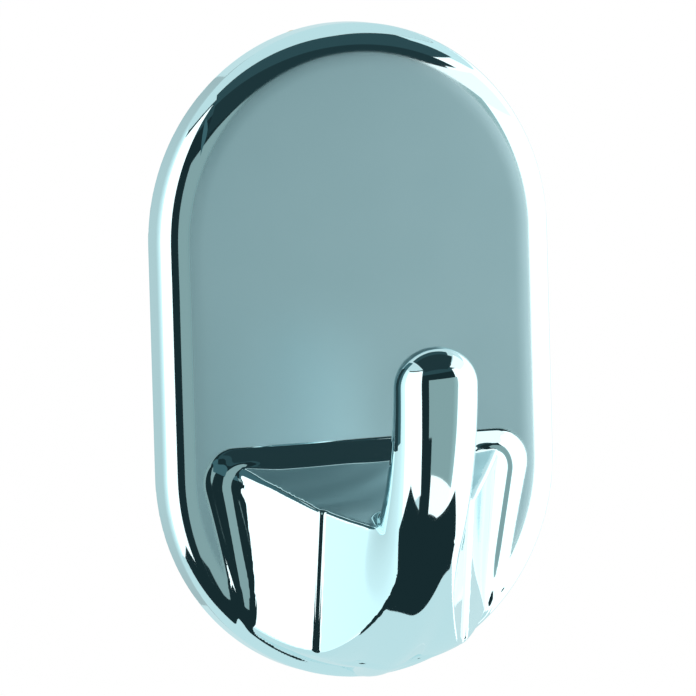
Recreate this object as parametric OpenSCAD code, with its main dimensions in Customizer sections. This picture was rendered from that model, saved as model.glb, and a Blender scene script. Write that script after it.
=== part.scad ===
// Adhesive wall hook: a chrome-plated moulding with an oblong back plate and one upturned arm,
// held to the wall by a die-cut double-sided foam pad that a paper liner covers until use.
// X is to the right, the wall is the plane y = 0, the front faces -Y and Z is up.
// The origin is the middle of the pad on the wall.

/* [Back plate] */
// Width of the back plate
plate_w = 40; // [36:0.5:46]
// Height of the back plate
plate_h = 61.5; // [58:0.5:68]
// Thickness of the back plate, from its rear edge to its face
plate_t = 3.8; // [3.2:0.1:4.4]
// How far the rounded rim reaches in from the edge
rim_w = 4.1; // [2.5:0.1:4.8]
// Depth of the rounded rim
rim_d = 1.6; // [0.8:0.1:2]
// Gap between the rear edge of the plate and the wall
stand_off = 0.6; // [0.4:0.05:0.9]

/* [Arm] */
// Reach of the arm's front from the wall
reach = 23.1; // [21:0.1:27]
// Width of the arm
arm_w = 8.2; // [6.5:0.1:9.5]
// Thickness of the arm near its tip
arm_t = 5.4; // [4.5:0.1:6.5]
// Height of the arm's tip above the middle of the plate
tip_z = 1.7; // [0:0.1:3.5]
// Height of the round end of the arm
tip_round = 3.7; // [2.5:0.1:4.5]
// Depth of the arm's inner curve below the middle of the plate
inner_drop = 19.1; // [17.5:0.1:21]

/* [Block] */
// Width of the block where it leaves the plate
root_w = 27.6; // [24:0.1:29]
// Width of the block at its front corners
front_w = 15.8; // [13.5:0.1:18]
// Reach of the block's front corners from the wall, at the shelf
front_reach = 11.1; // [9.8:0.1:12]
// Reach of the block's front corners from the wall, at the underside
foot_reach = 8.5; // [6.5:0.1:9.5]
// Drop of the shelf below the middle of the plate, at the plate
shelf_drop = 10; // [9:0.1:11.5]
// Slope of the shelf away from the plate, in degrees
shelf_slope = 30; // [20:1:34]
// Radius of the sweep from the plate to the shelf
shelf_blend = 4.7; // [3:0.1:5.5]
// Radius of the sweep from the plate to the sides of the block
side_blend = 6; // [3:0.1:7]

/* [Core] */
// Width of the pair of core pockets at the back
core_w = 16.4; // [12:0.1:18]
// Height of the core pockets at the back
core_h = 11.6; // [8:0.1:12.5]
// Reach of the core pockets from the wall
core_reach = 6.2; // [4:0.1:6.5]
// Draft of the core pockets, in degrees
core_draft = 8; // [3:1:12]
// Thickness of the rib between the core pockets
core_rib = 1.6; // [1:0.1:2.5]

/* [Pad] */
// Inset of the pad from the edge of the plate
pad_inset = 3; // [2.5:0.1:4]
// Gap around the pad in its recess
pad_gap = 0.4; // [0.2:0.05:0.8]
// Thickness of the foam core
foam_t = 1; // [0.7:0.05:1.2]
// Thickness of each adhesive coat
adhesive_t = 0.08; // [0.05:0.01:0.12]

/* [Release liner] */
// Thickness of the release liner
liner_t = 0.1; // [0.06:0.01:0.15]
// Silicone coat between the liner and the adhesive
release_gap = 0.02; // [0.01:0.01:0.05]
// Width of the finger tab
tab_w = 11; // [8:0.5:14]
// How far the finger tab reaches past the pad
tab_reach = 2.4; // [1.5:0.1:2.4]
// Corner radius of the finger tab
tab_corner = 1.2; // [0.8:0.1:1.4]

/* [Hidden] */

$fn = 96;
// Steps along a quarter of the rim, and around a quarter of a ring of the hook
rim_steps = 10;
ring_steps = 10;
// Rings along the block, the shoulder, the arm and the round end
block_rings = 14;
shoulder_rings = 9;
arm_rings = 15;
tip_rings = 8;
// Share of a sweep's radius by which it dips under the plate's face, so that it meets it at an angle
dip_share = 0.01;
// Shares of the rim's width by which the block's lower corners stay in from the plate's edge, at the plate
// and at the front
root_inset_share = 0.75;
foot_inset_share = 1 / 3;
// Share of that arc's radius to which the sweep beside the block is limited
sweep_share = 0.98;
// Share of the arm's width over which the valley beside it is rounded
valley_share = 0.3;
// Share of the saddle's curve at which the shoulder ends
shoulder_share = 0.5;
// Share of the rings above the shoulder that finish the saddle
finish_share = 1 / 3;
// Share of the height of an oval ring that each rounded half takes
half_share = 0.48;
// Share of the block's height over which the shelf edges are formed
edge_share = 0.2;
// Share of the depth of the core pockets that is kept as wall under the shelf
roof_share = 0.5;

// Stack of the pad, measured from the wall
adhesive_back = liner_t + release_gap;
foam_back = adhesive_back + adhesive_t;
foam_front = foam_back + foam_t;
pad_front = foam_front + adhesive_t;

// Levels of the plate, measured from the wall
face = stand_off + plate_t;
rim_back = face - rim_d;
plate_r = plate_w / 2;
end_z = plate_h / 2 - plate_r;
pad_w = plate_w - 2 * pad_inset;
pad_h = plate_h - 2 * pad_inset;

// Half axes of the outer and inner curves of the arm, about the point (rim_back, 0) of the side view
outer_reach = reach - rim_back;
outer_drop = plate_h / 2;
inner_reach = outer_reach - arm_t;

// Slopes of the shelf and of the block's side walls
shelf_fall = tan(shelf_slope);
side_fall = (root_w - front_w) / 2 / (front_reach - face);
// Where the sweeps start, under the plate's face, and where the hook is rooted inside the plate
sweep_back = face - dip_share * shelf_blend;
root_back = (pad_front + face) / 2;
// Width over which the valley beside the arm is rounded
valley_soft = valley_share * arm_w;
// Angle on the outer curve at the foot of the block's front, and where the shoulder ends
foot_angle = acos((foot_reach - rim_back) / outer_reach);
shoulder_angle = 60;
// Angle on the inner curve where the saddle runs into the arm, and where the round end starts
saddle_angle = 42;
tip_angle = asin((tip_round - tip_z) / ((inner_drop + outer_drop) / 2));
// Boxiness of a ring: high on the block with its crisp edges, 2 on the oval arm
block_power = 14;
arm_power = 2;
// Angle that the lower curve of an oval ring spans on each side
oval_span = 89;
// Top of the core pockets
core_top = shelf_at(core_reach) - roof_share * (core_reach - pad_front);

function mix(a, b, share) = a + (b - a) * share;
function ease(share) = share * share * (3 - 2 * share);

// Smooth larger of two values
function soft(a, b, width) = pow(max(width - abs(a - b), 0), 2) / width / 4;
function soft_max(a, b, width) = max(a, b) + soft(a, b, width);

// Points [reach, height] on the outer and inner curves of the arm
function outer_at(angle) = [rim_back + outer_reach * cos(angle), -outer_drop * sin(angle)];
function inner_at(angle) = [rim_back + inner_reach * cos(angle), -inner_drop * sin(angle)];

// A line that falls away from the plate, with a round sweep at its start
function swept(start, fall, radius, f) =
    let (
        slant = sqrt(1 + fall * fall),
        top = start + radius * (slant - fall),
        joins = sweep_back + radius * (1 - fall / slant)
    )
    f <= sweep_back ? top :
    f < joins ? top - sqrt(radius * radius - pow(sweep_back + radius - f, 2)) :
    start - fall * (f - sweep_back);
function shelf_at(f) = swept(-shelf_drop, shelf_fall, shelf_blend, f);
function side_at(f) = swept(root_w / 2, side_fall, side_blend, f);

// The saddle: from the shelf's front edge to the inner curve of the arm
saddle_start = [front_reach, shelf_at(front_reach)];
saddle_end = inner_at(saddle_angle);
saddle_rise = inner_drop * cos(saddle_angle) / (inner_reach * sin(saddle_angle));
saddle_mid_f = (saddle_start[1] - saddle_end[1] + shelf_fall * saddle_start[0] + saddle_rise * saddle_end[0])
    / (shelf_fall + saddle_rise);
saddle_mid = [saddle_mid_f, saddle_start[1] - shelf_fall * (saddle_mid_f - saddle_start[0])];
function saddle_at(share) =
    let (a = mix(saddle_start, saddle_mid, share), b = mix(saddle_mid, saddle_end, share))
    mix(a, b, share);

// A ring of the hook is [inner point, outer point, half width, power, inner depth, lower span, lower depth]
// A ring of the block has its lower corners over the rim, on an arc about the centre of the plate's lower end
function block_ring(share, back = sweep_back) =
    let (
        f = mix(back, front_reach, share),
        g = mix(back, foot_reach, share),
        foot_r = plate_r - rim_w * mix(root_inset_share, foot_inset_share, sqrt(share)),
        half = min(side_at(f), sweep_share * foot_r),
        s = [f, shelf_at(f)],
        u = outer_at(acos((g - rim_back) / outer_reach)),
        corner = -end_z - sqrt(foot_r * foot_r - half * half)
    )
    [s, u, half, block_power, edge_share * norm(u - s), asin(half / foot_r), corner - u[1]];

function arm_ring(s, u, half, oval) =
    let (
        h = norm(u - s),
        front = block_ring(1),
        low = oval * oval
    )
    [s, u, half, mix(block_power, arm_power, oval), mix(edge_share, half_share, oval) * h,
        mix(front[5], oval_span, low), mix(front[6], half_share * h, low)];

// Half width across the shoulder: from the block's front corner down to the arm
function shoulder_half(share) =
    soft_max(mix(front_w / 2, arm_w / 2 - valley_soft, share), arm_w / 2, valley_soft);

function shoulder_ring(share) =
    arm_ring(
        saddle_at(share * shoulder_share),
        outer_at(mix(foot_angle, shoulder_angle, share * share)),
        shoulder_half(share),
        ease(share)
    );

function upper_ring(share) =
    let (
        s = share < finish_share
            ? saddle_at(mix(shoulder_share, 1, share / finish_share))
            : inner_at(mix(saddle_angle, tip_angle, (share - finish_share) / (1 - finish_share)))
    )
    arm_ring(s, outer_at(mix(shoulder_angle, tip_angle, share)), arm_w / 2, 1);

// The round end: the last ring of the arm, drawn in as it rises
function tip_ring(share) =
    let (
        last = upper_ring(1),
        middle = (last[0] + last[1]) / 2,
        across = last[1] - last[0],
        up = [-across[1], across[0]] / norm(across),
        lift = tip_round * sin(90 * share),
        size = cos(90 * share)
    )
    [middle + up * lift - across / 2 * size, middle + up * lift + across / 2 * size,
        last[2] * size, last[3], last[4] * size, last[5], last[6] * size];

// The rings of the block crowd together at the plate, where the sweeps are steep
function all_rings() = concat(
    [block_ring(0, root_back)],
    [for (i = [0:block_rings - 1]) block_ring(pow(i / block_rings, 2))],
    [for (i = [0:shoulder_rings - 1]) shoulder_ring(i / shoulder_rings)],
    [for (i = [0:arm_rings - 1]) upper_ring(i / arm_rings)],
    [for (i = [0:tip_rings - 1]) tip_ring(i / tip_rings)]
);

// Right half of a ring as [x, depth], from the middle of its inner side to the middle of its outer side
function half_outline(ring) =
    let (h = norm(ring[1] - ring[0]), p = 2 / ring[3], span = ring[5])
    concat(
        [for (i = [0:ring_steps]) let (a = 90 * i / ring_steps)
            [ring[2] * pow(sin(a), p), ring[4] * (1 - pow(cos(a), p))]],
        [for (i = [0:ring_steps]) let (a = span * (1 - i / ring_steps))
            [ring[2] * sin(a) / sin(span), h - ring[6] * (1 - (cos(a) - cos(span)) / (1 - cos(span)))]]
    );
function ring_points(ring) =
    let (
        right = half_outline(ring),
        n = len(right),
        along = (ring[1] - ring[0]) / norm(ring[1] - ring[0]),
        all = concat(right, [for (i = [n - 2:-1:1]) [-right[i][0], right[i][1]]])
    )
    [for (p = all) [p[0], -ring[0][0] - along[0] * p[1], ring[0][1] + along[1] * p[1]]];

// Skin over a list of rings with equal numbers of points, closed at both ends
module skin(rings) {
    n = len(rings[0]);
    m = len(rings);
    walls = [for (j = [0:m - 2], i = [0:n - 1])
        let (a = j * n + i, b = j * n + (i + 1) % n)
        each [[a, b, a + n], [b, b + n, a + n]]];
    first = [for (i = [n - 1:-1:0]) i];
    last = [for (i = [0:n - 1]) (m - 1) * n + i];
    polyhedron([for (ring = rings) each ring], concat(walls, [first, last]), convexity = 8);
}

module oblong(w, h) {
    for (side = [-1, 1])
        translate([0, side * (h - w) / 2])
            circle(d = w);
    square([w, h - w], center = true);
}

// A flat layer with an outline in X and Z, between two reaches from the wall
module layer(from, to) {
    translate([0, -from, 0])
        rotate([90, 0, 0])
            linear_extrude(to - from)
                children();
}

// Half section of the plate: rear edge, straight side and round rim
module plate_section() {
    rim = [for (i = [0:rim_steps]) let (a = 90 * i / rim_steps)
        [plate_r - rim_w + rim_w * cos(a), rim_back + rim_d * sin(a)]];
    polygon(concat([[0, stand_off], [plate_r, stand_off]], rim, [[0, face]]));
}

module plate() {
    rotate([90, 0, 0]) {
        for (side = [0, 1])
            mirror([0, side, 0])
                translate([0, end_z, 0])
                    rotate_extrude(angle = 180)
                        plate_section();
        translate([0, end_z, 0])
            rotate([90, 0, 0])
                linear_extrude(2 * end_z) {
                    plate_section();
                    mirror([1, 0])
                        plate_section();
                }
    }
}

module hook() {
    skin([for (ring = all_rings()) ring_points(ring)]);
}

// One core pocket: a drafted hole that the mould leaves behind the block
module core_pocket() {
    draft = (core_reach - stand_off) * tan(core_draft);
    back_w = (core_w - core_rib) / 2;
    outline = [[0, 0], [0, core_h], [back_w, core_h], [back_w, 0]];
    inner = [[0, draft], [0, core_h - draft], [back_w - draft, core_h - draft], [back_w - draft, draft]];
    translate([core_rib / 2, 0, core_top - core_h])
        skin([
            [for (p = outline) [p[0], -stand_off, p[1]]],
            [for (p = inner) [p[0], -core_reach, p[1]]]
        ]);
}

module hook_body() {
    color("lightcyan")
        difference() {
            union() {
                plate();
                hook();
            }
            layer(0, pad_front)
                oblong(pad_w + 2 * pad_gap, pad_h + 2 * pad_gap);
            for (side = [0, 1])
                mirror([side, 0, 0])
                    core_pocket();
        }
}

module hook_side_adhesive() {
    color("gainsboro")
        layer(foam_front, pad_front)
            oblong(pad_w, pad_h);
}

module foam_core() {
    color("whitesmoke")
        layer(foam_back, foam_front)
            oblong(pad_w, pad_h);
}

module wall_side_adhesive() {
    color("gainsboro")
        layer(adhesive_back, foam_back)
            oblong(pad_w, pad_h);
}

module release_liner() {
    tab_end = pad_h / 2 + tab_reach;
    color("khaki")
        layer(0, liner_t) {
            oblong(pad_w, pad_h);
            translate([-tab_w / 2, 0])
                square([tab_w, tab_end - tab_corner]);
            translate([-tab_w / 2 + tab_corner, 0])
                square([tab_w - 2 * tab_corner, tab_end]);
            for (side = [-1, 1])
                translate([side * (tab_w / 2 - tab_corner), tab_end - tab_corner])
                    circle(r = tab_corner);
        }
}

hook_body();
hook_side_adhesive();
foam_core();
wall_side_adhesive();
release_liner();
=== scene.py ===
import math

import bpy
import numpy as np
from mathutils import Matrix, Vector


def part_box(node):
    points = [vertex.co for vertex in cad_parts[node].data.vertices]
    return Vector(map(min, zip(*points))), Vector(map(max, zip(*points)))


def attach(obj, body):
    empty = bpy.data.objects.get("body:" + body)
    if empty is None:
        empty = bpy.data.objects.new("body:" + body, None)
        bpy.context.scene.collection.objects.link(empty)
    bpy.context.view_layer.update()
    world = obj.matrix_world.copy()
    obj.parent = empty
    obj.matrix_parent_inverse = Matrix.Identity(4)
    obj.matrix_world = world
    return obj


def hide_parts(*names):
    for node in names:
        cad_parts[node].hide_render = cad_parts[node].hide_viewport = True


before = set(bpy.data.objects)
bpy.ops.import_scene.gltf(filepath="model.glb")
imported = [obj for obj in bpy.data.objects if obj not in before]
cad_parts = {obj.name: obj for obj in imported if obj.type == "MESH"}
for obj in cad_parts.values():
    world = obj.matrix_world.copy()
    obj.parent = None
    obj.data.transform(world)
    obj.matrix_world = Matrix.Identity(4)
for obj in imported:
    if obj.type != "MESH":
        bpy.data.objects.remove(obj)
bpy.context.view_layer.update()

# Hook body
# One injection moulding in ABS, chrome-plated all over: an oblong plate with a rolled rim, a tapered block
# with a sloping shelf, and an upturned round-ended arm. The pad sticks in a shallow recess at its back.

# Sizes are in millimetres, with x to the right, f out from the wall and z up. The overall ones come from the
# solid's box.
MM = 0.001
body_low, body_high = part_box("hook_body")
pad_low, pad_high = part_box("foam_core")
plate_r = body_high.x / MM
plate_end = body_high.z / MM - plate_r
plate_top = plate_r + plate_end
stand_off = -body_high.y / MM
reach = -body_low.y / MM

# Plate: a quarter of an oval rolls over the rim to the flat face, and the recess leaves a gap round the pad.
rim_w = 4.1
rim_d = 1.6
face = 4.4
rear_round = 0.25
pad_gap = 0.4
recess_f = 1.28

# Arm: an oval section between an outer and an inner curve, with a domed end.
arm_w = 8.2
arm_t = 5.4
arm_t_least = 0.6
tip_z = 1.7
tip_round = 3.7
inner_drop = 19.1
curve_f = 2.5

# Block: each side wall turns in to a corner, and a slightly hollow shoulder runs from there to the arm.
# The top and bottom edges are rounder near the root and under the arm.
corner_x = 7.87
corner_f = 11.1
corner_z = -13.9
wall_lean = 0.175
side_turn = math.radians(50)
shoulder_turn = math.radians(53.5)
shoulder_r = 90
shoulder_step = 0.4
shoulder_skin = 0.8
block_inset = 1.0
foot_r = 18.95
foot_round = 1.0
corner_round = 0.2
edge_round = 0.4
edge_round_more = 0.3
edge_top_f = (face, 8.0)
edge_under_f = (9.0, 14.0)

# Shelf: it falls towards the arm and flattens to the saddle. Faint waves cross it, left by the flow of plastic.
shelf_fall = math.tan(math.radians(33))
saddle_fall = math.tan(math.radians(18))
shelf_round = 0.3
flow_h = 0.014
flow_w = 2.6
flow_lean = 0.3
flow_bend = 0.4
valley_round = 0.75
saddle_round = 2.0
saddle_z = (-15.5, -12.5)

# Root: a ramp leads from the plate up to the block, with a rippled terrace at its sides and a steeper sill
# on top. The one blends into the other round the upper corners.
ramp_turn = math.radians(20)
ramp_x = 16.6
ramp_z = -11.4
ramp_lean = 0.24
ramp_foot_r = 19.85
ramp_corner = 4.0
ramp_soft = 0.2
terrace_h = 0.62
terrace_h_least = 0.1
terrace_fall = 0.028
terrace_w = 0.6
sill_turn = math.radians(28.5)
sill_z = -8.2
sill_blend = (-2.0, 6.0)
ripple_h = 0.011
ripple_w = 1.1
ripple_start = (0.0, 0.5)
root_round = 0.06


def round_join(a, b, r):
    """Distance to two shapes together, with a hollow of radius r along their meeting line."""
    return np.maximum(r, np.minimum(a, b)) - np.hypot(np.maximum(r - a, 0), np.maximum(r - b, 0))


def round_cut(a, b, r):
    """Distance to what two shapes share, with a round of radius r along their edge."""
    return -round_join(-a, -b, r)


def oval(u, v, half_u, half_v, least=1e-6):
    """Distance, very nearly, to an ellipse about the origin."""
    share = np.hypot(u / half_u, v / half_v)
    steep = np.hypot(u / half_u ** 2, v / half_v ** 2)
    return share * (share - 1) / np.maximum(steep, least)


def ease(value, start, end):
    """Smooth rise from 0 at the start to 1 at the end."""
    share = np.clip((value - start) / (end - start), 0, 1)
    return share * share * (3 - 2 * share)


def incline(value, soft):
    """Zero below zero and rising evenly above it, with a rounded start."""
    start = np.clip(value + soft, 0, 2 * soft)
    return start * start / (4 * soft) + np.maximum(value - soft, 0)


def plate_field(x, f, z):
    """Distance to the plate with its rolled rim, and the distance out from its middle line."""
    radial = np.hypot(x, np.maximum(np.abs(z) - plate_end, 0))
    w = np.maximum(radial - plate_r + rim_w, 0)
    g = np.maximum(f - face + rim_d, 0)
    flat = np.maximum(radial - plate_r, f - face)
    rolled = np.where((w > 0) | (g > 0), oval(w, g, rim_w, rim_d), flat)
    return round_cut(rolled, stand_off - f, rear_round), radial


def arm_field(x, f, z, outer, least=1e-3):
    """Distance to the arm, given the depth behind its outer curve."""
    inner = oval(f - curve_f, np.minimum(z, 0), reach - curve_f - arm_t, inner_drop)
    across = (inner - outer) / 2
    half_t = np.maximum((inner + outer) / 2, arm_t_least / 2)
    half_w = arm_w / 2
    rise = np.maximum(z - tip_z + tip_round, 0) / tip_round
    share = np.sqrt((x / half_w) ** 2 + (across / half_t) ** 2 + rise ** 2)
    steep = np.sqrt((x / half_w ** 2) ** 2 + (across / half_t ** 2) ** 2 + (rise / tip_round) ** 2)
    return np.maximum(share * (share - 1) / np.maximum(steep, least), curve_f - f)


def block_field(x, f, z, outer, end_r):
    """Distance to the block: walls and shoulders under the shelf, over the underside and within the foot."""
    beside = np.abs(x)
    ahead = f - corner_f - wall_lean * (z - corner_z)
    side = (beside - corner_x) * math.sin(side_turn) + ahead * math.cos(side_turn)
    side = side / math.hypot(1, wall_lean * math.cos(side_turn))
    hollow_x = corner_x - shoulder_step + shoulder_r * math.sin(shoulder_turn)
    hollow_f = shoulder_r * math.cos(shoulder_turn)
    shoulder = shoulder_r - np.hypot(beside - hollow_x, ahead - hollow_f)
    shoulder = round_cut(shoulder, shoulder_skin - outer, corner_round)
    walls = round_join(round_cut(side, ahead, corner_round), shoulder, corner_round)

    shelf, saddle = [
        (z - corner_z + fall * (f - corner_f)) / math.hypot(1, fall) for fall in (shelf_fall, saddle_fall)
    ]
    bend = flow_bend * np.sin(x / flow_w)
    flow = flow_h * np.sin(2 * np.pi * (f + flow_lean * x + bend) / flow_w)
    top = round_join(shelf, saddle, shelf_round) + flow

    drop = np.where(z < -plate_end, end_r, 0)
    under = oval(f - curve_f, -drop - plate_end, reach - curve_f, plate_top)
    foot = round_cut(under, end_r - foot_r, foot_round)
    block = round_cut(walls, top, edge_round + edge_round_more * (1 - ease(f, *edge_top_f)))
    block = round_cut(block, foot, edge_round + edge_round_more * ease(f, *edge_under_f))
    return np.maximum(block, stand_off + block_inset - f)


def root_field(x, z, plate, end_r):
    """Distance to the root: the plate's own surface raised by ramp, terrace, ripple and sill."""
    out = np.abs(x) - ramp_x - ramp_lean * (z - ramp_z)
    over = z - sill_z
    inward = -round_cut(round_cut(out, over, ramp_corner), end_r - ramp_foot_r, foot_round)
    at_sill = ease(over - out, *sill_blend)
    climb = np.tan(ramp_turn + (sill_turn - ramp_turn) * at_sill)
    ledge = np.maximum(terrace_h + terrace_fall * (z - ramp_z), terrace_h_least) / climb
    height = incline(inward, ramp_soft) - incline(inward - ledge, ramp_soft)
    height += incline(inward - ledge - terrace_w * (1 - at_sill), ramp_soft)
    ripple = ripple_h * np.sin(2 * np.pi * inward / ripple_w) * ease(inward, *ripple_start) * (1 - at_sill)
    return (plate - climb * height - ripple) / np.hypot(1, climb)


def body_field(x, f, z):
    """Distance to the whole moulding, below zero inside it."""
    plate, radial = plate_field(x, f, z)
    outer = -oval(f - curve_f, np.minimum(z, 0), reach - curve_f, plate_top)
    end_r = np.hypot(x, np.minimum(z + plate_end, 0))
    valley = valley_round + (saddle_round - valley_round) * ease(z, *saddle_z)
    hook = round_join(block_field(x, f, z, outer, end_r), arm_field(x, f, z, outer), valley)
    hook = round_join(hook, root_field(x, z, plate, end_r), root_round)
    solid = np.maximum(np.minimum(plate, hook), radial - plate_r)
    solid = np.maximum(solid, stand_off - f)
    recess = np.maximum(radial - (pad_high.x / MM + pad_gap), f - recess_f)
    return np.maximum(solid, -recess)


def slope(field, points, step=0.01):
    """Gradient of a field at an array of points."""
    rows = []
    for axis in range(3):
        shift = np.zeros(3)
        shift[axis] = step
        rows.append((field(*(points + shift).T) - field(*(points - shift).T)) / (2 * step))
    return np.array(rows).T


def grid_lines(low, high, cell, fine):
    """Grid lines between two limits, twice as close within the fine ranges."""
    lines = [low]
    while lines[-1] < high:
        near = any(start <= lines[-1] < end for start, end in fine)
        lines.append(lines[-1] + (cell / 2 if near else cell))
    return np.array(lines)


def skin(field, axes, passes=4, least_steep=0.2):
    """Points, outward normals and quads over the surface where a field is zero, one point per crossed cell."""
    cell = max(np.diff(line).max() for line in axes)
    value = field(*np.meshgrid(*axes, indexing="ij"))
    cells = tuple(n - 1 for n in value.shape)
    total = np.zeros(cells + (3,))
    count = np.zeros(cells)
    quads = []
    for axis in range(3):
        second, third = [n for n in range(3) if n != axis]
        start = np.moveaxis(value, axis, 0)[:-1]
        stop = np.moveaxis(value, axis, 0)[1:]
        crossed = np.nonzero((start < 0) != (stop < 0))
        share = start[crossed] / (start[crossed] - stop[crossed])
        grid = [None] * 3
        grid[axis], grid[second], grid[third] = crossed
        place = np.array([axes[n][grid[n]] for n in range(3)]).T
        place[:, axis] += share * np.diff(axes[axis])[grid[axis]]
        ring = []
        for back, left in ((0, 0), (1, 0), (1, 1), (0, 1)):
            corner = [g.copy() for g in grid]
            corner[second] -= back
            corner[third] -= left
            corner = tuple(corner)
            np.add.at(total, corner, place)
            np.add.at(count, corner, 1)
            ring.append(np.ravel_multi_index(corner, cells))
        flip = (start[crossed] < 0) == (axis == 1)
        quads.append(np.where(flip[:, None], np.array(ring).T, np.array(ring[::-1]).T))
    used = np.flatnonzero(count.ravel())
    points = total.reshape(-1, 3)[used] / count.ravel()[used, None]
    for _ in range(passes):
        normal = slope(field, points)
        steep = np.maximum((normal ** 2).sum(1), least_steep)
        points -= np.clip(field(*points.T) / steep, -cell / 2, cell / 2)[:, None] * normal
    normal = slope(field, points)
    normal /= np.linalg.norm(normal, axis=1)[:, None]
    renumber = np.full(count.size, -1)
    renumber[used] = np.arange(len(used))
    return points, normal, renumber[np.concatenate(quads)]


def mesh_piece(name, points, faces):
    """A smooth-shaded mesh object from points in millimetres as x, f, z."""
    mesh = bpy.data.meshes.new(name)
    place = np.stack([points[:, 0], -points[:, 1], points[:, 2]], 1) * MM
    mesh.from_pydata(place.tolist(), [], faces)
    mesh.polygons.foreach_set("use_smooth", [True] * len(mesh.polygons))
    mesh.update()
    piece = bpy.data.objects.new(name, mesh)
    bpy.context.collection.objects.link(piece)
    return piece


# The skin is finer at the block's corners and edges, the root, the sill and the foot.
cell = 0.3
margin = 0.5
fine_x = ((corner_x - 0.9, corner_x + 0.6), (11, 17.2))
fine_f = ((face - 0.9, face + 1.3), (corner_f - 0.6, corner_f + 0.6))
fine_z = ((-31, -24), (-15, -13), (-11, -7.5))
half_x = grid_lines(0, plate_r + margin, cell, fine_x)
body_points, body_normals, body_quads = skin(body_field, [
    np.concatenate([-half_x[:0:-1], half_x]),
    grid_lines(stand_off - margin, reach + margin, cell, fine_f),
    grid_lines(-plate_top - margin, plate_top + margin, cell, fine_z),
])
body_points = np.clip(body_points, (-plate_r, stand_off, -plate_top), (plate_r, reach, plate_top))
hook_body = mesh_piece("hook_moulding", body_points, body_quads.tolist())
body_normals = np.stack([body_normals[:, 0], -body_normals[:, 1], body_normals[:, 2]], 1)
hook_body.data.normals_split_custom_set_from_vertices(body_normals.tolist())

# The flat panel of the plate is satin and carries a little painted shade, up to where its surface leaves the
# face or turns from the front. Everything round it is polished.
panel_rise = (0.2, 0.3)
panel_facing = (0.985, 0.994)
panel = 1 - ease(np.abs(body_points[:, 1] - face), *panel_rise)
panel = panel * ease(-body_normals[:, 1], *panel_facing)
satin = hook_body.data.attributes.new("satin", "FLOAT", "POINT")
satin.data.foreach_set("value", panel.astype(np.float32))


def linear(hex_colour, alpha=1.0):
    """Linear colour of an sRGB hex value."""
    levels = [int(hex_colour[i:i + 2], 16) / 255 for i in (1, 3, 5)]
    return [c / 12.92 if c <= 0.04045 else ((c + 0.055) / 1.055) ** 2.4 for c in levels] + [alpha]


def add_node(tree, kind, inputs=None, **settings):
    """Adds a node with its settings. An input is a plain value, or an output socket to link."""
    node = tree.nodes.new(kind)
    for key, value in settings.items():
        setattr(node, key, value)
    for key, value in (inputs or {}).items():
        if isinstance(value, bpy.types.NodeSocket):
            tree.links.new(value, node.inputs[key])
        else:
            node.inputs[key].default_value = value
    return node


def new_material(name):
    """An empty node material and its tree, with the surface output."""
    material = bpy.data.materials.new(name)
    material.use_nodes = True
    material.node_tree.nodes.clear()
    return material, material.node_tree, add_node(material.node_tree, "ShaderNodeOutputMaterial")


# A Mix node has sockets for every kind of value, so its colour sockets go by their place in the list.
colour_a, colour_b, colour_out = 6, 7, 2
# Most values of a noise texture lie between these two.
noise_low, noise_high = 0.3, 0.7

# Bright chrome on moulded ABS: a cool mirror, sharp on the polished rim, block and arm, and blurred to an even
# sheen on the satin panel, whose tone is also a little darker: painted shade that dims the panel. A haze in
# patches of 5.6 mm varies the gloss, and the moulding under the plating is wavy by 0.015 mm over 5.9 mm, so
# that straight reflections sway a little.
haze_w = 5.56
wave_w = 5.88
wave_h = 0.015
polished_rough = (0.03, 0.05)
satin_rough = (0.40, 0.44)
chrome, tree, surface = new_material("chrome_plated_abs")
place = add_node(tree, "ShaderNodeTexCoord")
satin_and_painted_shade = add_node(tree, "ShaderNodeAttribute", attribute_name="satin")
haze = add_node(
    tree, "ShaderNodeTexNoise",
    {"Vector": place.outputs["Object"], "Scale": 1 / (haze_w * MM), "Detail": 3.0},
)
polish, cloud = [
    add_node(
        tree, "ShaderNodeMapRange",
        {
            "Value": haze.outputs["Fac"], "From Min": noise_low, "From Max": noise_high,
            "To Min": least, "To Max": most,
        },
    )
    for least, most in (polished_rough, satin_rough)
]
roughness = add_node(
    tree, "ShaderNodeMix",
    {"Factor": satin_and_painted_shade.outputs["Fac"], "A": polish.outputs["Result"], "B": cloud.outputs["Result"]},
)
swell = add_node(
    tree, "ShaderNodeTexNoise",
    {"Vector": place.outputs["Object"], "Scale": 1 / (wave_w * MM), "Detail": 1.0},
)
waviness = add_node(
    tree, "ShaderNodeBump",
    {"Strength": 1.0, "Distance": wave_h * MM, "Height": swell.outputs["Fac"]},
)
# Painted shade: the satin panel gets a darker tone than the polished chrome.
tone = add_node(
    tree, "ShaderNodeMix",
    {"Factor": satin_and_painted_shade.outputs["Fac"], colour_a: linear("#DDF5F8"), colour_b: linear("#CDEBF1")},
    data_type="RGBA",
)
plating = add_node(
    tree, "ShaderNodeBsdfPrincipled",
    {
        "Base Color": tone.outputs[colour_out], "Metallic": 1.0,
        "Roughness": roughness.outputs["Result"], "Normal": waviness.outputs["Normal"],
    },
)
tree.links.new(plating.outputs["BSDF"], surface.inputs["Surface"])
hook_body.data.materials.append(chrome)
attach(hook_body, "hook")
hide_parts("hook_body")

# Adhesive coats
# Two films of acrylic adhesive, one on each side of the foam and die-cut with it. The front one grips the
# recess of the moulding, and the rear one grips the wall once the liner is off.
pad_r = pad_high.x / MM
pad_end = pad_high.z / MM - pad_r
coat_inset = 0.02


def oblong(radius, end, steps=48):
    """Outline of a plate with round ends, as x and z, from the right end of the top arc."""
    turn = np.linspace(0, np.pi, steps + 1)
    top = np.stack([radius * np.cos(turn), end + radius * np.sin(turn)], 1)
    return np.concatenate([top, -top])


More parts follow.
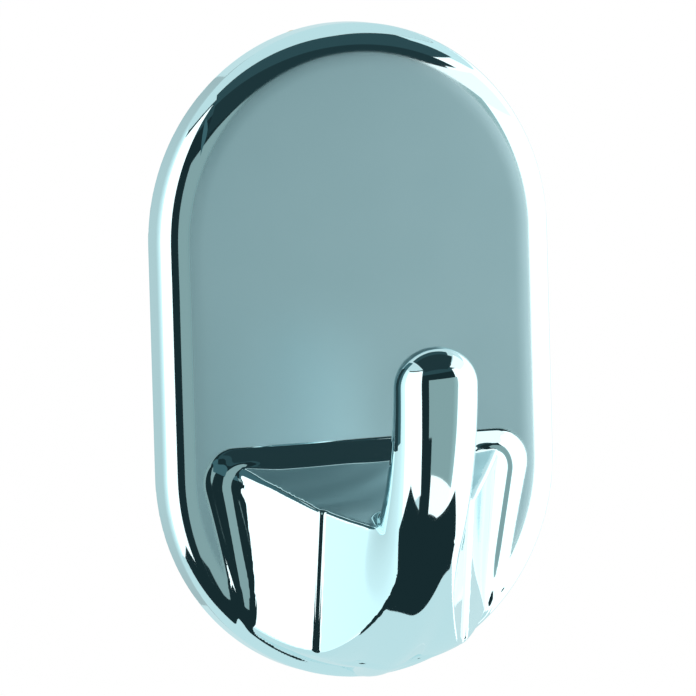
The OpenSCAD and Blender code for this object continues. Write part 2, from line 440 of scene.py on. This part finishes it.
def layer(name, outline, levels, insets, rings=6):
    """A closed flat piece: its outline stands at each level, drawn in by the matching inset."""
    middle = outline.mean(0)
    span = np.abs(outline).max(0)
    stations = [(levels[0], insets[0], n / rings) for n in range(1, rings)]
    stations += [(level, inset, 1) for level, inset in zip(levels, insets)]
    stations += [(levels[-1], insets[-1], n / rings) for n in range(rings - 1, 0, -1)]
    points = []
    for level, inset, share in stations:
        scale = share * (1 - inset / span)
        ring = middle + (outline - middle) * scale
        points.append(np.stack([ring[:, 0], np.full(len(ring), level), ring[:, 1]], 1))
    n = len(outline)
    faces = [
        [j * n + i, j * n + (i + 1) % n, (j + 1) * n + (i + 1) % n, (j + 1) * n + i]
        for j in range(len(stations) - 1) for i in range(n)
    ]
    faces += [list(range(n))[::-1], [(len(stations) - 1) * n + i for i in range(n)]]
    return mesh_piece(name, np.concatenate(points), faces)


# Pressed acrylic film: clear grey and glossy, and a little uneven, so its shine breaks up in waves 2 mm long.
film_w = 2.0
film_h = 0.03
film_rough = (0.12, 0.26)
acrylic, tree, surface = new_material("acrylic_adhesive_coat")
place = add_node(tree, "ShaderNodeTexCoord")
film = add_node(
    tree, "ShaderNodeTexNoise",
    {"Vector": place.outputs["Object"], "Scale": 1 / (film_w * MM), "Detail": 2.0},
)
film_tone = add_node(
    tree, "ShaderNodeMix",
    {"Factor": film.outputs["Fac"], colour_a: linear("#D9DCD4"), colour_b: linear("#ECEEE8")},
    data_type="RGBA",
)
film_gloss = add_node(
    tree, "ShaderNodeMapRange",
    {
        "Value": film.outputs["Fac"], "From Min": noise_low, "From Max": noise_high,
        "To Min": film_rough[0], "To Max": film_rough[1],
    },
)
film_wave = add_node(
    tree, "ShaderNodeBump",
    {"Strength": 0.6, "Distance": film_h * MM, "Height": film.outputs["Fac"]},
)
gloss = add_node(
    tree, "ShaderNodeBsdfPrincipled",
    {
        "Base Color": film_tone.outputs[colour_out], "Roughness": film_gloss.outputs["Result"],
        "IOR": 1.47, "Normal": film_wave.outputs["Normal"],
    },
)
tree.links.new(gloss.outputs["BSDF"], surface.inputs["Surface"])

pad_outline = oblong(pad_r, pad_end)
for node in ("hook_side_adhesive", "wall_side_adhesive"):
    low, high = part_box(node)
    coat = layer(node + "_coat", pad_outline, [-high.y / MM, -low.y / MM], [coat_inset, coat_inset])
    coat.data.materials.append(acrylic)
    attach(coat, "hook")
    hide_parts(node)

# Foam pad
# A sheet of closed-cell polyethylene foam between the two coats, die-cut to the oblong of the recess.
# The cut presses its edge in a little at mid-thickness.
foam_rows = 7
foam_waist = 0.12
foam_levels = np.linspace(-pad_high.y / MM, -pad_low.y / MM, foam_rows)
foam_insets = foam_waist * np.sin(np.linspace(0, np.pi, foam_rows))
foam = layer("foam_pad", pad_outline, foam_levels, foam_insets)

# Closed-cell polyethylene foam: a matt cut edge with a fine grain of cells. Real cells are about 0.2 mm and
# are drawn at 0.4 mm so that they show.
cell_w = 0.4
cell_h = 0.1
foam_cells, tree, surface = new_material("closed_cell_pe_foam")
place = add_node(tree, "ShaderNodeTexCoord")
grain = add_node(
    tree, "ShaderNodeTexVoronoi",
    {"Vector": place.outputs["Object"], "Scale": 1 / (cell_w * MM)},
)
cell_tone = add_node(
    tree, "ShaderNodeMix",
    {"Factor": grain.outputs["Distance"], colour_a: linear("#DCDCD5"), colour_b: linear("#F6F6F2")},
    data_type="RGBA",
)
cell_dent = add_node(
    tree, "ShaderNodeBump",
    {"Strength": 0.7, "Distance": cell_h * MM, "Height": grain.outputs["Distance"]},
)
cut_foam = add_node(
    tree, "ShaderNodeBsdfPrincipled",
    {
        "Base Color": cell_tone.outputs[colour_out], "Roughness": 0.85,
        "Normal": cell_dent.outputs["Normal"],
    },
)
tree.links.new(cut_foam.outputs["BSDF"], surface.inputs["Surface"])
foam.data.materials.append(foam_cells)
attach(foam, "hook")
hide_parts("foam_core")

# Release liner
# Silicone-coated paper, die-cut with the pad, with a finger tab at the top. It rides on its own body
# and is pulled off before the hook goes on the wall.
liner_low, liner_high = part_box("release_liner")
tab_half = 5.5
tab_corner = 1.2
tab_steps = 7
edge_steps = 60
tab_top = liner_high.z / MM
tab_angle = math.asin(tab_half / pad_r)
turn = np.linspace(0, np.pi / 2, tab_steps)
tab_edge = np.stack([
    tab_half - tab_corner + tab_corner * np.cos(turn),
    tab_top - tab_corner + tab_corner * np.sin(turn),
], 1)
turn = np.linspace(np.pi / 2 - tab_angle, -np.pi / 2, edge_steps)
sheet_edge = np.stack([
    pad_r * np.cos(turn),
    pad_r * np.sin(turn) + np.where(turn > 0, pad_end, -pad_end),
], 1)
right_edge = np.concatenate([tab_edge[::-1], sheet_edge])
left_edge = right_edge[::-1] * (-1, 1)
liner_outline = np.concatenate([right_edge, left_edge[1:]])[::-1]
liner_levels = [-liner_high.y / MM, -liner_low.y / MM]
liner = layer("liner_sheet", liner_outline, liner_levels, [0.0, 0.0])

# Kraft paper under a thin silicone coat: warm buff, faintly shiny, with fibres about 0.7 mm by 3 mm, drawn
# coarser than real ones so that they show.
fibre_w = 0.714
fibre_stretch = 0.25
fibre_h = 0.02
paper_rough = (0.32, 0.5)
paper, tree, surface = new_material("silicone_coated_liner_paper")
place = add_node(tree, "ShaderNodeTexCoord")
stretch = add_node(
    tree, "ShaderNodeMapping",
    {"Vector": place.outputs["Object"], "Scale": (1.0, 1.0, fibre_stretch)},
)
fibre = add_node(
    tree, "ShaderNodeTexNoise",
    {"Vector": stretch.outputs["Vector"], "Scale": 1 / (fibre_w * MM), "Detail": 4.0},
)
paper_tone = add_node(
    tree, "ShaderNodeMix",
    {"Factor": fibre.outputs["Fac"], colour_a: linear("#DCCB9C"), colour_b: linear("#EFE4C6")},
    data_type="RGBA",
)
paper_shine = add_node(
    tree, "ShaderNodeMapRange",
    {
        "Value": fibre.outputs["Fac"], "From Min": noise_low, "From Max": noise_high,
        "To Min": paper_rough[0], "To Max": paper_rough[1],
    },
)
paper_nap = add_node(
    tree, "ShaderNodeBump",
    {"Strength": 0.4, "Distance": fibre_h * MM, "Height": fibre.outputs["Fac"]},
)
sheet = add_node(
    tree, "ShaderNodeBsdfPrincipled",
    {
        "Base Color": paper_tone.outputs[colour_out], "Roughness": paper_shine.outputs["Result"],
        "Normal": paper_nap.outputs["Normal"],
    },
)
tree.links.new(sheet.outputs["BSDF"], surface.inputs["Surface"])
liner.data.materials.append(paper)
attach(liner, "liner")
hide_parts("release_liner")

# Studio
# A matt white floor under a white sky. Cards on spheres round the hook, and flags close to it, give the chrome
# a pale room with softboxes and dark cloths to mirror. Only reflections show them.
floor_z = -0.08
floor_size = 7
bpy.ops.mesh.primitive_plane_add(size=floor_size, location=(0, 0, floor_z))
floor = bpy.context.object
floor.name = "floor"
white, tree, surface = new_material("white_floor")
matt = add_node(tree, "ShaderNodeBsdfDiffuse", {"Color": linear("#FFFFFF")})
tree.links.new(matt.outputs["BSDF"], surface.inputs["Surface"])
floor.data.materials.append(white)
floor.visible_glossy = False


def hang(card, light):
    """Gives a card its light, so that only reflections show it."""
    card.data.materials.append(light)
    card.visible_camera = False
    card.visible_diffuse = False
    card.visible_shadow = False


# Each card spans an azimuth, from the front to the right, and an elevation, both in degrees. Its light runs
# evenly from one level at its left edge to another at its right. A later card hangs in front of an earlier one.
pale_wall = "#E5F9FC"
dark_cloth = "#A8F0FF"
grey_cloth = "#E0FEFF"
softbox = "#FFFFFF"
card_r = 0.8
card_gap = 0.01
card_steps = 33
cards = [
    ("ceiling_card", -180, 180, 42, 90, pale_wall, 0.85, 0.85),
    ("table_card", -180, 180, -90, -36, pale_wall, 0.86, 0.86),
    ("left_wall", -180, -100, -36, 42, pale_wall, 0.55, 1.02),
    ("left_wall_near", -100, -80, -36, 42, pale_wall, 1.02, 1.3),
    ("right_wall", 125, 180, -36, 42, pale_wall, 0.85, 0.85),
    ("dark_opening", -80, 125, -36, 42, dark_cloth, 0.03, 0.03),
    ("dark_sill", -30, 60, -46, -36, dark_cloth, 0.03, 0.03),
    ("overhead_flag", -40, 50, 26, 42, dark_cloth, 0.08, 0.08),
    ("left_softbox", -80, -27, -36, 39, softbox, 1.45, 1.45),
    ("right_softbox", 41, 125, -36, 30, softbox, 1.45, 1.45),
    ("lower_strip", -4, 42, -42, -30, softbox, 1.35, 1.35),
    ("grey_card", -11, 34, -31, 12, grey_cloth, 0.40, 0.40),
    ("grey_edge", 34, 44, -31, 12, grey_cloth, 0.40, 0.56),
    ("dark_corner", -11, -5, -31, -22, dark_cloth, 0.03, 0.03),
    ("right_cornice", 50, 125, 30, 42, pale_wall, 0.95, 0.95),
]
card_faces = [
    [j * card_steps + i, j * card_steps + i + 1, (j + 1) * card_steps + i + 1, (j + 1) * card_steps + i]
    for j in range(card_steps - 1) for i in range(card_steps - 1)
]
for order, (name, left, right, low, high, colour, level_left, level_right) in enumerate(cards):
    radius = (card_r - card_gap * order) / MM
    around, upward = np.meshgrid(
        np.radians(np.linspace(left, right, card_steps)), np.radians(np.linspace(low, high, card_steps)),
    )
    points = radius * np.stack([
        np.sin(around) * np.cos(upward), np.cos(around) * np.cos(upward), np.sin(upward),
    ], -1).reshape(-1, 3)
    card = mesh_piece(name, points, card_faces)
    levels = np.tile(np.linspace(level_left, level_right, card_steps), card_steps)
    shade = card.data.attributes.new("level", "FLOAT", "POINT")
    shade.data.foreach_set("value", levels.astype(np.float32))
    light, tree, surface = new_material(name)
    strength = add_node(tree, "ShaderNodeAttribute", attribute_name="level")
    glow = add_node(
        tree, "ShaderNodeEmission",
        {"Color": linear(colour), "Strength": strength.outputs["Fac"]},
    )
    tree.links.new(glow.outputs["Emission"], surface.inputs["Surface"])
    hang(card, light)

# Each flag has a corner and two edges, in millimetres as x, f, z, and one level of light. It shows on the side
# that faces the hook and is open from behind, so that it hides no card.
flags = [
    ("top_flag", (-20, 10.5, 36), (44, 0, 0), (0, 11.5, 0), dark_cloth, 0.085),
    ("far_top_flag", (-20, 22, 36), (51, 0, 0), (0, 48, 0), dark_cloth, 0.045),
    ("right_top_card", (33, 14, 36), (37, 0, 0), (0, 46, 0), softbox, 1.2),
    ("lower_flag", (-60, 19.5, -50), (0, 38.5, 0), (120, 0, 0), dark_cloth, 0.03),
    ("arm_flag", (-9.5, 12, -9), (0, 0, 15), (0, 5.5, 0), dark_cloth, 0.05),
    ("panel_flag", (-15.9, 6, -10), (0, 0, 34), (0, 12, 0), dark_cloth, 0.15),
]
for name, corner, along, out, colour, level in flags:
    corner, along, out = np.array(corner, float), np.array(along, float), np.array(out, float)
    points = np.array([corner, corner + out, corner + along + out, corner + along])
    flag = mesh_piece(name, points, [[3, 2, 1, 0]])
    light, tree, surface = new_material(name)
    glow = add_node(tree, "ShaderNodeEmission", {"Color": linear(colour), "Strength": level})
    side_seen = add_node(tree, "ShaderNodeNewGeometry")
    open_back = add_node(tree, "ShaderNodeBsdfTransparent")
    one_side = add_node(
        tree, "ShaderNodeMixShader",
        {0: side_seen.outputs["Backfacing"], 1: glow.outputs["Emission"], 2: open_back.outputs["BSDF"]},
    )
    tree.links.new(one_side.outputs["Shader"], surface.inputs["Surface"])
    hang(flag, light)

scene = bpy.context.scene
world = bpy.data.worlds.new("white_studio")
world.use_nodes = True
scene.world = world
tree = world.node_tree
tree.nodes.clear()
sky = add_node(tree, "ShaderNodeBackground", {"Color": linear("#FFFFFF"), "Strength": 1.0})
add_node(tree, "ShaderNodeOutputWorld", {"Surface": sky.outputs["Background"]})
scene.view_settings.view_transform = "Standard"

# Camera
# Left of the front and a little above, as in the photograph, with a long lens. The shift puts the origin of
# the part where the photograph has it.
camera_azimuth = math.radians(-24.2)
camera_height = math.radians(5.5)
camera_roll = math.radians(-1.6)
camera_distance = 0.9
focal_px = 9585
image_px = 696
origin_px = (343.9, 348.05)
away = np.array([
    math.sin(camera_azimuth) * math.cos(camera_height),
    -math.cos(camera_azimuth) * math.cos(camera_height),
    math.sin(camera_height),
])
level = np.array([math.cos(camera_azimuth), math.sin(camera_azimuth), 0])
upright = np.cross(away, level)
across = math.cos(camera_roll) * level + math.sin(camera_roll) * upright
above = np.cross(away, across)
lens = bpy.data.cameras.new("camera")
lens.sensor_width = 36
lens.lens = focal_px / image_px * lens.sensor_width
lens.shift_x = (image_px / 2 - origin_px[0]) / image_px
lens.shift_y = (origin_px[1] - image_px / 2) / image_px
camera = bpy.data.objects.new("camera", lens)
camera.matrix_world = Matrix([
    [across[n], above[n], away[n], away[n] * camera_distance] for n in range(3)
] + [[0, 0, 0, 1]])
bpy.context.collection.objects.link(camera)
scene.camera = camera
